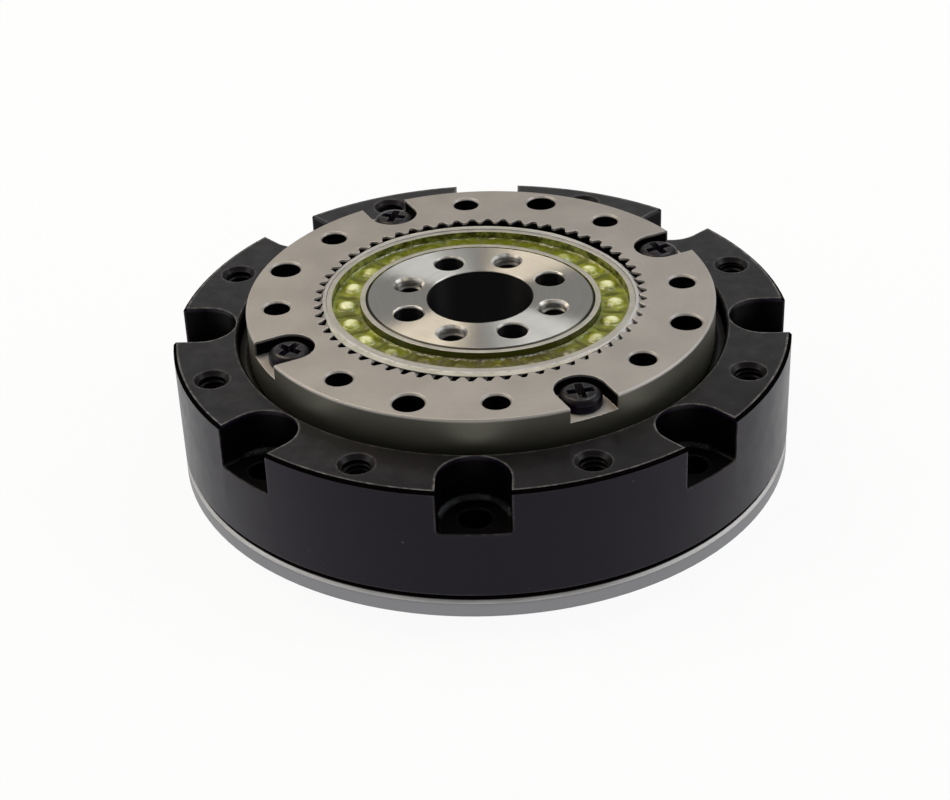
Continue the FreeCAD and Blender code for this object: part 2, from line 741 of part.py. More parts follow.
def toothed_rim():
    foot, length, bevel = value("rim_foot"), value("tooth_length"), value("tooth_bevel")
    corners = [corner for n in range(int(value("flexspline_teeth"))) for corner in tooth_corners(n)]
    edge = Part.makePolygon(corners + corners[:1])
    edge.translate(Vector(0, 0, foot))
    teeth = Part.Face(edge).extrude(Vector(0, 0, length))
    top, wide = foot + length, "flexspline_tip + tooth_bevel"
    straight = Part.Face(oval_wire(wide, foot)).extrude(Vector(0, 0, length - bevel))
    sloped = Part.makeLoft([oval_wire("flexspline_tip + tip_clearance", top - bevel),
                            oval_wire("flexspline_root", top)], True, True)
    core = Part.Face(oval_wire("cup_inside", foot)).extrude(Vector(0, 0, length))
    return teeth.common(straight.fuse(sloped)).cut(core)


def countersinks():
    """Cones under the flange for the heads of its screws."""
    head, shank = value("screw_head / 2"), value("screw_thread / 2")
    cones = []
    for n in range(int(value("screw_count"))):
        angle = value("housing_angle - wave_angle + pocket_step / 2") + 360 / value("screw_count") * n
        cone = Part.makeCone(head, shank, head - shank)
        cone.translate(Vector(value("tap_circle / 2"), 0, 0))
        cone.rotate(Vector(0, 0, 0), Vector(0, 0, 1), angle)
        cones.append(cone)
    return Part.makeCompound(cones)


# Wave generator: oval hub, two thin races, balls and their cage

def make_hub():
    body = new_body("wave_generator_hub")
    sketch = new_sketch(body, "boss_outline", height="bearing_foot - hub_shoulder_height - hub_boss_height")
    circle(sketch, "hub_boss_diameter")
    pad(body, "boss", sketch, "hub_boss_height")
    sketch = new_sketch(body, "shoulder_outline", height="bearing_foot - hub_shoulder_height")
    oval(sketch, "(cam_radius + hub_shoulder)")
    pad(body, "shoulder", sketch, "hub_shoulder_height")
    sketch = new_sketch(body, "cam_outline", height="bearing_foot")
    oval(sketch, "cam_radius")
    cam = pad(body, "cam", sketch, "hub_top - bearing_foot")
    top = value("hub_top")
    soften(body, "Chamfer", "cam_edge", cam, "hub_chamfer", lambda edge: lies_flat_at(edge, top))
    drill(body, "bore", "0", "hub_top", "0", "hub_bore", "hub_bore_mouth")
    pin = drill(body, "pin_hole", "hub_circle / 2", "hub_top", "hub_angle - wave_angle",
                "hub_pin_hole", "hub_pin_mouth")
    ring_of(body, "pin_hole", pin, "screw_count")
    tap = drill(body, "tapped_hole", "hub_circle / 2", "hub_top", "hub_angle - wave_angle + pocket_step",
                "hub_tap_hole", "hub_tap_mouth")
    ring_of(body, "tapped_hole", tap, "screw_count")
    turn_by(body, "wave_angle")
    return body


def make_races():
    path = doc.addObject("Part::Ellipse", "groove_path")
    path.setExpression("MajorRadius", bind("ball_circle + wave"))
    path.setExpression("MinorRadius", bind("ball_circle - wave"))
    path.setExpression("Placement.Base.z", bind("ball_height"))
    section = doc.addObject("Part::Circle", "groove_section")
    section.setExpression("Radius", bind("groove_radius"))
    # stood upright, and turned so that its seam meets neither race
    upright = Rotation(Vector(1, 0, 0), 90)
    section.Placement = Placement(Vector(0, 0, 0), upright.multiply(Rotation(Vector(0, 0, 1), 90)))
    section.setExpression("Placement.Base.x", bind("ball_circle + wave"))
    section.setExpression("Placement.Base.z", bind("ball_height"))
    groove = doc.addObject("Part::Sweep", "ball_groove")
    groove.Sections = [section]
    groove.Spine = (path, ["Edge1"])
    groove.Solid = True
    races = []
    for label, outside, inside in (
        ("flex_bearing_outer_race", "outer_race_outside", "outer_race_inside"),
        ("flex_bearing_inner_race", "inner_race_outside", "inner_race_inside"),
    ):
        ring = new_body(f"{label}_ring")
        sketch = new_sketch(ring, "outline", height="bearing_foot")
        oval(sketch, outside)
        pad(ring, "wall", sketch, "bearing_width")
        sketch = new_sketch(ring, "inside_outline", height="bearing_top")
        oval(sketch, inside)
        pocket(ring, "inside", sketch)
        race = doc.addObject("Part::Cut", label)
        race.Base = ring
        race.Tool = groove
        race.Label = label
        turn_by(race, "wave_angle")
        races.append(race)
    return races


def ball_spheres(name, diameter):
    """Spheres evenly spaced along the oval path of the balls."""
    spheres = []
    for n in range(int(value("ball_count"))):
        sphere = doc.addObject("Part::Sphere", f"{name}_{n + 1}")
        sphere.setExpression("Radius", bind(f"({diameter}) / 2"))
        angle = f"({n} * 360 / ball_count * 1 deg)"
        stretched = f"({angle} + wave / ball_circle / 2 * sin(2 * {angle}) * 1 rad)"
        sphere.setExpression("Placement.Base.x", bind(f"(ball_circle + wave) * cos({stretched})"))
        sphere.setExpression("Placement.Base.y", bind(f"(ball_circle - wave) * sin({stretched})"))
        sphere.setExpression("Placement.Base.z", bind("ball_height"))
        spheres.append(sphere)
    group = doc.addObject("Part::Compound", name)
    group.Links = spheres
    group.Label = name
    return group


def make_balls_and_cage():
    balls = ball_spheres("flex_bearing_balls", "ball_diameter")
    turn_by(balls, "wave_angle")
    ring = new_body("cage_ring")
    foot = "(ball_height - cage_drop)"
    sketch = new_sketch(ring, "outline", height=foot)
    oval(sketch, "(ball_circle + cage_width / 2)")
    pad(ring, "ring", sketch, "cage_height")
    sketch = new_sketch(ring, "inside_outline", height=f"{foot} + cage_height")
    oval(sketch, "(ball_circle - cage_width / 2)")
    pocket(ring, "inside", sketch)
    seats = ball_spheres("cage_seats", "ball_diameter + 2 * cage_clearance")
    cage = doc.addObject("Part::Cut", "flex_bearing_cage")
    cage.Base = ring
    cage.Tool = seats
    cage.Label = "flex_bearing_cage"
    turn_by(cage, "wave_angle")
    return [balls, cage]


def main():
    pieces = [make_housing(), make_circular_spline(), make_flexspline(), make_hub()]
    pieces += make_inner_rings() + make_rollers() + make_seals() + make_screws()
    pieces += make_races() + make_balls_and_cage()
    doc.recompute()
    for item in doc.Objects:
        if "Invalid" in item.State or "Error" in item.State:
            raise ValueError(f"{item.Label} failed: {item.State}")
    for piece in pieces:
        if piece.Shape.isNull() or not piece.Shape.isValid():
            raise ValueError(f"{piece.Label} has no valid shape")
    os.makedirs("parts", exist_ok=True)
    for piece in pieces:
        piece.Shape.exportStep(os.path.join("parts", f"{piece.Label}.step"))
        print(piece.Label, len(piece.Shape.Solids), round(piece.Shape.Volume, 2))


main()
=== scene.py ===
import json
import math
import bmesh
import bpy
from mathutils import Matrix, Vector, noise


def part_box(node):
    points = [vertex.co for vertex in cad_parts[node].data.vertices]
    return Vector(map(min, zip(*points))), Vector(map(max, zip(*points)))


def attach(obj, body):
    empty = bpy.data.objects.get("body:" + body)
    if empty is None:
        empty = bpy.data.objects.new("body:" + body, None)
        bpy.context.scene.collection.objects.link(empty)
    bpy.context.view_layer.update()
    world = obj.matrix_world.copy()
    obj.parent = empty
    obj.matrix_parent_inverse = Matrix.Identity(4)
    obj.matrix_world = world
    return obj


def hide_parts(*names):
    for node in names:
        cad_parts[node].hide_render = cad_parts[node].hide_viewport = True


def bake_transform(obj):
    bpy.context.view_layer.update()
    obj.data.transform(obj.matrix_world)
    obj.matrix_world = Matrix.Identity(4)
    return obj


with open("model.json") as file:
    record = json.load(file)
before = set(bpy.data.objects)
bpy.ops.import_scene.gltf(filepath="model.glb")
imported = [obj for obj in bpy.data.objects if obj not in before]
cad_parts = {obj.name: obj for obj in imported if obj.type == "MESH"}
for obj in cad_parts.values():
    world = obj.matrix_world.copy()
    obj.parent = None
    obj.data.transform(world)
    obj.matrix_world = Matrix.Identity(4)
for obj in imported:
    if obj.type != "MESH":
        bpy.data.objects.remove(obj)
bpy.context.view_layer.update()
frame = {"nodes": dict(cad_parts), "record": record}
nodes = frame["nodes"]
scene = bpy.context.scene
mm = 0.001
print("frame loaded", len(nodes), "nodes")


def mountOf(name):
    return next(mount for mount in frame["record"]["mounts"] if mount["name"] == name)


# shader sums

mixSockets = {"RGBA": (6, 7, 2), "VECTOR": (4, 5, 1)}  # a Mix node's two inputs and its output


class Wire:  # one output of a material's nodes, so that shader maths reads as plain sums
    def __init__(self, tree, socket=None):
        self.tree, self.socket = tree, socket

    def node(self, kind, settings=None, sockets=None, output=0):
        made = self.tree.nodes.new(kind)
        for key, value in (settings or {}).items():
            setattr(made, key, value)
        for key, value in (sockets or {}).items():
            if isinstance(value, Wire):
                self.tree.links.new(value.socket, made.inputs[key])
            else:
                made.inputs[key].default_value = value
        return Wire(self.tree, made.outputs[output])

    def sum(self, operation, first, second=0.0):
        return self.node("ShaderNodeMath", {"operation": operation}, {0: first, 1: second})

    def __add__(self, other):
        return self.sum("ADD", self, other)

    def __radd__(self, other):
        return self.sum("ADD", other, self)

    def __sub__(self, other):
        return self.sum("SUBTRACT", self, other)

    def __rsub__(self, other):
        return self.sum("SUBTRACT", other, self)

    def __mul__(self, other):
        return self.sum("MULTIPLY", self, other)

    def __rmul__(self, other):
        return self.sum("MULTIPLY", other, self)

    def __pow__(self, other):
        return self.sum("POWER", self, other)

    def larger(self, other):
        return self.sum("MAXIMUM", self, other)

    def wave(self):
        return self.sum("SINE", self)

    def step(self, low, high):  # 0 below low, 1 above high, smooth between
        return self.node("ShaderNodeMapRange", {"interpolation_type": "SMOOTHSTEP"},
                         {"Value": self, "From Min": low, "From Max": high})

    def near(self, edge, span):  # 0 at the span's first distance below an edge, 1 at its second
        return self.step(edge - span[0], edge - span[1])

    def axis(self, index):  # one coordinate of a vector
        return self.node("ShaderNodeSeparateXYZ", None, {0: self}, index)

    def pick(self, kind, first, second):  # self picks between two colours or vectors
        one, other, out = mixSockets[kind]
        return self.node("ShaderNodeMix", {"data_type": kind}, {0: self, one: first, other: second}, out)

    def mix(self, first, second):  # self picks between two colours, each a wire or three numbers
        colours = [colour if isinstance(colour, Wire) else (*colour, 1) for colour in (first, second)]
        return self.pick("RGBA", *colours)


# in this and the finishes' own dictionaries lengths are in millimetres
surface = {
    "edge": 0.12, "broadEdge": 0.7, "edgeTurn": (0.01, 0.12), "bevelSamples": 6,
    # black is the colour of the painted-shade share in close
    "level": (0.9, 0.98), "wall": (0.05, 0.3), "black": (0.002, 0.002, 0.002, 1),
}


class Finish(Wire):  # a new material with the coordinates that its sums start from
    def __init__(self, name):
        self.material = bpy.data.materials.new(name)
        self.material.use_nodes = True
        super().__init__(self.material.node_tree)
        self.shader = self.tree.nodes["Principled BSDF"]
        metres = self.node("ShaderNodeTexCoord", output="Object")
        self.place = self.node("ShaderNodeVectorMath", {"operation": "SCALE"}, {0: metres, "Scale": 1 / mm})
        self.x, self.y, self.z = [self.place.axis(i) for i in range(3)]
        self.radius = (self.x * self.x + self.y * self.y) ** 0.5
        self.angle = self.sum("ARCTAN2", self.y, self.x)
        self.facing = self.node("ShaderNodeNewGeometry", output="Normal")
        self.slope = self.facing.axis(2)  # 1 on faces that look up, 0 on walls

    def noise(self, scale, detail, roughness=0.55, place=None):
        return self.node("ShaderNodeTexNoise", None, {
            "Vector": place or self.place, "Scale": scale, "Detail": detail, "Roughness": roughness})

    def patches(self, pattern, span):  # noise whose values within the span go from 0 to 1
        return self.noise(*pattern).step(*span)

    def lay(self, across, along, up, detail=3, roughness=0.6):  # marks stretched round the axis
        place = self.node("ShaderNodeCombineXYZ", None, {
            0: self.radius * across, 1: self.angle * along, 2: self.z * up})
        return self.noise(1.0, detail, roughness, place)

    def rounded(self, width):  # normal with softened edges
        return self.node("ShaderNodeBevel", {"samples": surface["bevelSamples"]}, {"Radius": width * mm})

    def edges(self, width):  # 1 on a sharp edge, 0 a little way from it
        near = self.node("ShaderNodeVectorMath", {"operation": "DOT_PRODUCT"},
                         {0: self.rounded(width), 1: self.facing}, "Value")
        return (1 - near).step(*surface["edgeTurn"])

    def level(self):  # 1 on faces that look straight up
        return self.slope.step(*surface["level"])

    def upright(self, span=surface["wall"]):  # 1 on walls
        return 1 - (self.slope * self.slope).step(*span)

    def top(self, node):  # highest corner of a node
        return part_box(node)[1] / mm

    def close(self, bump, depth, edge=surface["edge"], broad=None, shadeShare=None, **values):
        normal = self.rounded(edge)
        if broad is not None:  # share with broadly rounded edges
            normal = broad.pick("VECTOR", normal, self.rounded(surface["broadEdge"]))
        normal = self.node("ShaderNodeBump", None, {
            "Height": bump, "Distance": depth * mm, "Strength": 1.0, "Normal": normal})
        self.tree.links.new(normal.socket, self.shader.inputs["Normal"])
        for key, value in values.items():
            socket = self.shader.inputs[key.replace("_", " ")]
            if isinstance(value, Wire):
                self.tree.links.new(value.socket, socket)
            else:
                socket.default_value = (*value, 1) if isinstance(value, tuple) else value
        if shadeShare is not None:  # share that is painted shade: matt black, without gloss
            gloss = Wire(self.tree, self.shader.outputs[0])
            matt = self.node("ShaderNodeBsdfDiffuse", None, {"Color": surface["black"]})
            mixed = self.node("ShaderNodeMixShader", None, {0: shadeShare, 1: gloss, 2: matt})
            self.tree.links.new(mixed.socket, self.tree.nodes["Material Output"].inputs["Surface"])
        return self.material


# finishes: noise is given as scale, detail and roughness, patches as noise and the span that shows,
# and a lay as how fine it is across, along and up

blackLook = {
    "dark": (0.0042, 0.0036, 0.0044), "brown": (0.0072, 0.0060, 0.0060), "worn": (0.30, 0.29, 0.28),
    # deep is the near-black of painted shade inside hollows
    "wall": (0.0046, 0.0024, 0.0092), "deepShade": (0.0010, 0.0009, 0.0010), "glint": (0.9, 0.95, 1.0),
    "cloud": (0.16, 4), "grain": (9.0, 2), "smudge": ((0.45, 5, 0.65), (0.35, 0.7)),
    "chip": ((0.9, 4), (0.4, 0.66)), "specks": ((1.3, 2), (0.755, 0.78)), "turning": (16.0, 0.6, 16.0),
    "brownSpan": (0.35, 0.7), "glintSpan": (0.02, 0.3), "bumpDepth": 0.004, "rough": 0.26, "specular": 0.175,
    "tint": (1.0, 0.93, 1.0), "oil": 0.75, "oilRough": 0.22, "coatDipSlant": 0.35, "coatDip": (18.0, 34.0),
    "rimIn": (0.4, 0.34), "rimDown": (0.4, 0.3),  # painted shade: matt black, without gloss, on the chamfer round the top
    "lineIn": (0.62, 0.54), "lineDown": (0.1, 0.05),  # worn line beside it
    "hollowIn": (0.3, 0.1), "hollowDown": (0.6, 0.4), "boreOut": (-0.05, -0.15),
    "firstPocket": -3.9, "floorReach": (0.2, 0.6), "archOut": (2.3, 2.8), "archEnd": (-1.5, 0.5),
    "archEdge": 0.7,  # painted highlight along the edge round the back of a pocket's floor
}
blackPieces = {  # bore is the radius within which the inside is painted in shade
    "housing": {"wear": 1.0, "edgeWidth": 0.5, "bore": 27.7},
    "screw": {"wear": 0.6, "edgeWidth": 0.25, "bore": 0.0},
}


def pocketFloor(f, look):  # way outwards and distance from the nearest bolt hole, and 1 by a pocket's floor
    holes = mountOf("housing_bolt_holes")
    half = math.pi / holes["dims"]["count"]
    turn = f.node("ShaderNodeMath", {"operation": "WRAP"},
                  {0: f.angle - math.radians(look["firstPocket"]), 1: half, 2: -half})
    out = f.radius * f.sum("COSINE", turn) - holes["dims"]["pcd_mm"] / 2
    side = f.radius * turn.wave()
    height = f.sum("ABSOLUTE", f.z - holes["pos_m"][2] / mm)
    return out, (out * out + side * side) ** 0.5, 1 - height.step(*look["floorReach"])


def blackOxide(name, look, wear, edgeWidth, bore):
    f = Finish(name)
    high = f.top("housing")
    cloud = f.noise(*look["cloud"])
    grain = f.noise(*look["grain"])
    smudge = f.patches(*look["smudge"])
    chip = f.patches(*look["chip"])
    specks = f.patches(*look["specks"]) * 0.2
    flat = f.level()
    rim = f.radius.near(high.x, look["rimIn"]) * f.z.near(high.z, look["rimDown"])
    line = f.radius.near(high.x, look["lineIn"]) * f.z.near(high.z, look["lineDown"]) * flat
    hollow = (1 - f.z.near(high.z, look["hollowDown"])) * (1 - f.radius.near(high.x, look["hollowIn"]))
    edge = f.edges(edgeWidth) * (0.25 + flat * 0.5) * (0.35 + chip * 0.65) * wear
    edge = edge.larger(line * (0.15 + chip * 0.3))
    out, away, floor = pocketFloor(f, look)
    arch = away.step(*look["archOut"]) * (1 - out.step(*look["archEnd"]))
    edge = edge * (1 - floor * (1 - arch) * 0.7)  # faint round the bolt hole and along the floor's front
    # painted highlight: pale bluish line in the corner at the back of each pocket's floor
    glint = (f.edges(look["archEdge"]) * floor * arch).step(*look["glintSpan"]) * (0.5 + smudge * 0.5)
    wall = f.upright() * (0.5 + cloud * 0.8)
    base = wall.mix(cloud.step(*look["brownSpan"]).mix(look["dark"], look["brown"]), look["wall"])
    # painted shade: near black inside the pockets, holes and bore, with worn colour and specks dimmer there
    base = (hollow * 0.8).mix(base, look["deepShade"])
    colour = (edge * (1 - hollow * 0.6) + specks * (1 - hollow)).mix(base, look["worn"])
    colour = glint.mix(colour, look["glint"])
    rough = look["rough"] + cloud * 0.08 + grain * 0.04 + smudge * 0.05
    coatDip = (f.x * look["coatDipSlant"] - f.y).step(*look["coatDip"]) * 0.5  # less clear coat in front, on the right, which dims it there
    oil = flat * (1 - hollow) * (0.65 + smudge * 0.5) * ((1 - coatDip) * look["oil"])
    shut = (hollow * 0.65).larger(1 - f.radius.near(bore, look["boreOut"]))  # painted shade where light hardly enters
    return f.close(f.lay(*look["turning"]) * 0.5 + grain * 0.5, look["bumpDepth"],
                   shadeShare=rim.larger(shut * (1 - edge) * (1 - glint)), Base_Color=colour, Roughness=rough,
                   Specular_IOR_Level=look["specular"], Specular_Tint=look["tint"],
                   Coat_Weight=oil, Coat_Roughness=look["oilRough"])


groundLook = {
    "cloud": (0.2, 4), "grain": (14.0, 2), "spots": ((0.45, 5, 0.6), (0.6, 0.78)),
    "lay": (22.0, 1.6, 22.0), "lightSpan": (0.35, 0.65), "bumpDepth": 0.003, "edgeWidth": 0.15,
}
ringLook = {
    "light": (0.46, 0.433, 0.406), "dark": (0.41, 0.386, 0.36), "stain": (0.36, 0.335, 0.29), "rough": 0.48,
    # bright is the colour of a painted highlight on the edges, hole and side those of painted shade
    "bright": (0.66, 0.63, 0.59), "hole": (0.006, 0.005, 0.004), "side": (0.19, 0.185, 0.15),
    "edgeWidth": 0.2, "sunkDown": (0.4, 0.2), "sunkSlope": (0.92, 0.98), "outsideIn": (0.3, 0.1),
}
cupLook = {
    "light": (0.64, 0.63, 0.62), "dark": (0.52, 0.51, 0.49), "stain": (0.4, 0.39, 0.36), "rough": 0.44,
    # the wall and tooth colours are painted shade
    "wall": (0.26, 0.26, 0.27), "tooth": (0.012, 0.011, 0.010), "flangeIn": (1.2, 1.0),
    "grooveFoot": 2.1, "grooveUp": (0.06, -0.06), "toothLength": 5.6, "toothFade": 0.1,
    "toothTip": (0.82, 0.9), "toothRoot": (-0.1, -0.05),
}


def ground(f, look):  # colour, roughness and bump of a satin surface ground flat, with a faint grain
    cloud = f.noise(*groundLook["cloud"])
    grain = f.noise(*groundLook["grain"])
    lay = f.lay(*groundLook["lay"])
    stain = f.patches(*groundLook["spots"]) * 0.3
    base = (cloud * 0.6 + lay * 0.4).step(*groundLook["lightSpan"]).mix(look["dark"], look["light"])
    rough = look["rough"] + cloud * 0.1 + grain * 0.06 - f.edges(groundLook["edgeWidth"]) * 0.1
    return stain.mix(base, look["stain"]), rough, lay * 0.6 + grain * 0.4


def ringSteel(name, look):  # pale face, with painted shade in holes and tooth spaces and on the outside
    f = Finish(name)
    high = f.top("circular_spline")
    colour, rough, bump = ground(f, look)
    sunk = (1 - f.z.near(high.z, look["sunkDown"])) * (1 - f.slope.step(*look["sunkSlope"]))
    outside = f.radius.near(high.x, look["outsideIn"])
    # painted highlight: lighter along the edges, as where chamfers catch the light
    colour = (f.edges(look["edgeWidth"]) * 0.6).mix(colour, look["bright"])
    # painted shade: near black in holes and tooth spaces, darker on the outside wall
    colour = sunk.mix(colour, outside.mix(look["hole"], look["side"]))
    return f.close(bump, groundLook["bumpDepth"], shadeShare=sunk * (1 - outside) * 0.9,
                   Base_Color=colour, Roughness=rough - sunk * 0.02, Metallic=1.0)


def cupSteel(name, look):  # pale rim, with painted shade in the tooth gaps and in the groove above the flange, and a band round the flange painted darker grey as shade
    f = Finish(name)
    high = f.top("flexspline")
    colour, rough, bump = ground(f, look)
    upright = f.upright()
    flange = f.radius.near(high.x, look["flangeIn"])
    groove = f.z.near(look["grooveFoot"], look["grooveUp"]) * flange
    beyond = f.node("ShaderNodeAttribute", {"attribute_name": "beyond"}, output="Fac")  # past the rim's oval
    # painted shade in the tooth gaps
    gap = beyond.step(*look["toothTip"]).larger(upright * beyond.step(*look["toothRoot"]))
    toothFoot = high.z - look["toothLength"]
    gap = gap * f.z.step(toothFoot, toothFoot + look["toothFade"])
    # painted shade in the groove above the flange too
    dark = gap.larger(groove)
    # painted shade: darker grey on the flange's outer wall
    colour = (upright * flange).mix(colour, look["wall"])
    colour = dark.mix(colour, look["tooth"])
    return f.close(bump, groundLook["bumpDepth"], broad=flange, shadeShare=dark * 0.8,
                   Base_Color=colour, Roughness=rough, Metallic=1.0)


hubLook = {
    "light": (0.66, 0.64, 0.595), "dark": (0.55, 0.53, 0.485), "stain": (0.46, 0.43, 0.38), "rough": 0.32,
    # the bore and rim colours are painted shade
    "bore": (0.022, 0.021, 0.021), "rim": (0.09, 0.085, 0.07), "cloud": (0.25, 4),
    "spots": ((0.7, 4), (0.62, 0.8)), "lay": (30.0, 0.8, 30.0), "streak": (0.5, 16.0, 0.0, 2, 0.5),
    "lightSpan": (0.3, 0.7), "toolTurn": 62.0, "bumpDepth": 0.004, "firstPlain": 21.6,
    "plainSpan": (-0.1, 0.1), "sunkDown": (0.35, 0.15), "deepDown": (1.5, 0.4), "boreOut": (-0.02, -0.1),
    "chamferFrom": (11.0, 11.3), "chamferSlope": (0.2, 0.4),
}


def turnedSteel(name, look):  # bright face with rings from the lathe tool, and painted shade in the bore, in the holes, darkest in the plain ones, and on the outer chamfer
    f = Finish(name)
    high = f.top("wave_generator_hub")
    bore = mountOf("hub_bore")["dims"]["r_mm"]
    count = mountOf("hub_plain_holes")["dims"]["count"]
    cloud = f.noise(*look["cloud"])
    tool = (f.radius * look["toolTurn"]).wave() * 0.5 + 0.5
    lay = f.lay(*look["lay"])
    streak = f.lay(*look["streak"])
    plain = (f.angle * count + math.radians(90 - count * look["firstPlain"])).wave()  # 1 at plain holes
    inside = 1 - (0 - f.slope).step(*surface["level"])  # 0 on the face underneath
    sunk = (1 - f.z.near(high.z, look["sunkDown"])) * inside
    deepShade = (1 - f.z.near(high.z, look["deepDown"])) * inside
    # painted shade in the holes, most in the plain ones and deep down
    hole = (sunk * (0.45 + plain.step(*look["plainSpan"]) * 0.55)).larger(deepShade)
    hole = hole.larger(1 - f.radius.near(bore, look["boreOut"]))
    chamfer = f.slope.step(*look["chamferSlope"]) * (1 - f.level()) * f.radius.step(*look["chamferFrom"])
    base = (lay * 0.7 + cloud * 0.3).step(*look["lightSpan"]).mix(look["dark"], look["light"])
    base = (f.patches(*look["spots"]) * 0.3).mix(base, look["stain"])
    # painted shade: dark outer chamfer, near-black bore and holes
    colour = hole.mix(chamfer.mix(base, look["rim"]), look["bore"])
    rough = look["rough"] + cloud * 0.06 + lay * 0.06 + hole * 0.3
    return f.close(tool * 0.35 + lay * 0.65 + streak * 2.0, look["bumpDepth"], Base_Color=colour,
                   Roughness=rough, Metallic=1.0, Anisotropic=1.0, Anisotropic_Rotation=0.25)


raceLook = {
    "light": (0.76, 0.73, 0.66), "dark": (0.62, 0.6, 0.53), "stain": (0.52, 0.5, 0.35), "rough": 0.38,
    "wet": (0.32, 0.35, 0.07), "shade": (0.06, 0.065, 0.006), "wetWall": (0.1, 0.5), "bumpDepth": 0.02,
    "cloud": ((0.5, 4), (0.3, 0.7)), "film": ((0.8, 4, 0.6), (0.42, 0.7)),
    "smear": ((0.8, 5, 0.65), (0.4, 0.62)), "grain": (6.0, 2), "lumps": (1.2, 3),
}


def greasySteel(name, look):  # polished bearing steel with a film of grease, thick on the inward walls beside the balls, and painted shade on walls that face outwards
    f = Finish(name)
    film = f.patches(*look["film"])
    smear = f.patches(*look["smear"])
    wet = f.upright(look["wetWall"])
    outward = (f.x * f.facing.axis(0) + f.y * f.facing.axis(1)).step(-1.0, 1.0)
    base = f.patches(*look["cloud"]).mix(look["dark"], look["light"])
    # painted shade on walls that face outwards; inward walls go in patches between grease and painted shade
    walls = outward.mix(smear.mix(look["shade"], look["wet"]), look["shade"])
    colour = wet.mix((film * 0.6).mix(base, look["stain"]), walls)
    rough = look["rough"] - film * 0.08 - wet * 0.2 + f.noise(*look["grain"]) * 0.06
    return f.close(f.noise(*look["lumps"]) * film, look["bumpDepth"], Base_Color=colour, Roughness=rough,
                   Metallic=(1 - film * 0.5) * (1 - wet))


mouldedLook = {
    "cloud": ((0.6, 4), (0.35, 0.65)), "grain": (11.0, 2), "bumpDepth": 0.01,
    "cage": {"light": (0.6, 0.56, 0.36), "dark": (0.36, 0.36, 0.12), "rough": 0.4},
    "spacer": {"light": (0.68, 0.64, 0.52), "dark": (0.52, 0.49, 0.36), "rough": 0.45},
    "rubber": {"light": (0.022, 0.021, 0.021), "dark": (0.011, 0.011, 0.011), "rough": 0.62},
    "paste": {"light": (0.56, 0.54, 0.47), "dark": (0.44, 0.43, 0.35), "rough": 0.36},
}


def moulded(name, kind):  # nylon, rubber or stiff grease with a fine texture
    look = mouldedLook[kind]
    f = Finish(name)
    grain = f.noise(*mouldedLook["grain"])
    colour = f.patches(*mouldedLook["cloud"]).mix(look["dark"], look["light"])
    return f.close(grain, mouldedLook["bumpDepth"], Base_Color=colour, Roughness=look["rough"] + grain * 0.1)


greaseLook = {
    # the first colour is a painted highlight for the ball tops
    "paintedHighlight": (0.90, 0.92, 0.56), "thin": (0.50, 0.53, 0.13), "thick": (0.36, 0.40, 0.018),
    "shade": (0.12, 0.135, 0.004), "brown": (0.075, 0.06, 0.018), "rough": 0.2, "ior": 1.47,
    "lump": (1.1, 4), "streak": ((0.6, 3), (0.3, 0.7)), "ripple": (4.5, 2), "bumpDepth": 0.06, "edge": 0.05,
    "front": (7.0, 13.0), "back": (8.0, 13.0),  # how far from the middle the painted shade turns it brown in front and dark at the back
    "lumpSpan": (0.55, 0.75), "thickSpan": (-0.6, 0.15), "thinSpan": (0.2, 0.7), "paintedHighlightSpan": (0.58, 0.95),
    "glossSpan": (-0.25, 0.05), "coat": 0.4, "coatRough": 0.12,
    "glow": 0.1, "glowDepth": 0.3, "glowColour": Vector((1.0, 1.0, 0.25)),
}


def greaseFinish(name, look):
    f = Finish(name)
    proud = f.node("ShaderNodeAttribute", {"attribute_name": "proud"}, output="Fac")  # 1 on a ball's top
    lump = f.noise(*look["lump"])
    clear = 1 - lump.step(*look["lumpSpan"]) * 0.6
    # painted shade: brown in front and dark at the back, weaker over lumps
    front = (0 - f.y).step(*look["front"]) * 0.85 * clear
    back = f.y.step(*look["back"]) * 0.9 * clear
    thick = f.patches(*look["streak"]).mix(look["shade"], look["thick"])
    # painted shade: dark in the creases and low parts between the balls
    colour = (proud + (lump - 0.5) * 0.5).step(*look["thickSpan"]).mix(look["shade"], thick)
    colour = (proud + (lump - 0.5) * 0.3).step(*look["thinSpan"]).mix(colour, look["thin"])
    # painted highlight: pale cream on the ball tops
    colour = (proud + (lump - 0.5) * 0.4).step(*look["paintedHighlightSpan"]).mix(colour, look["paintedHighlight"])
    colour = front.mix(back.mix(colour, look["shade"]), look["brown"])
    gloss = proud.step(*look["glossSpan"])  # 0 in the creases
    rough = look["rough"] + lump * 0.16 + (1 - gloss) * 0.4
    return f.close(lump * 0.7 + f.noise(*look["ripple"]) * 0.3, look["bumpDepth"], look["edge"],
                   Base_Color=colour, Roughness=rough, IOR=look["ior"], Subsurface_Weight=look["glow"],
                   Subsurface_Scale=look["glowDepth"] * mm, Subsurface_Radius=look["glowColour"],
                   Coat_Weight=gloss * look["coat"], Coat_Roughness=look["coatRough"])


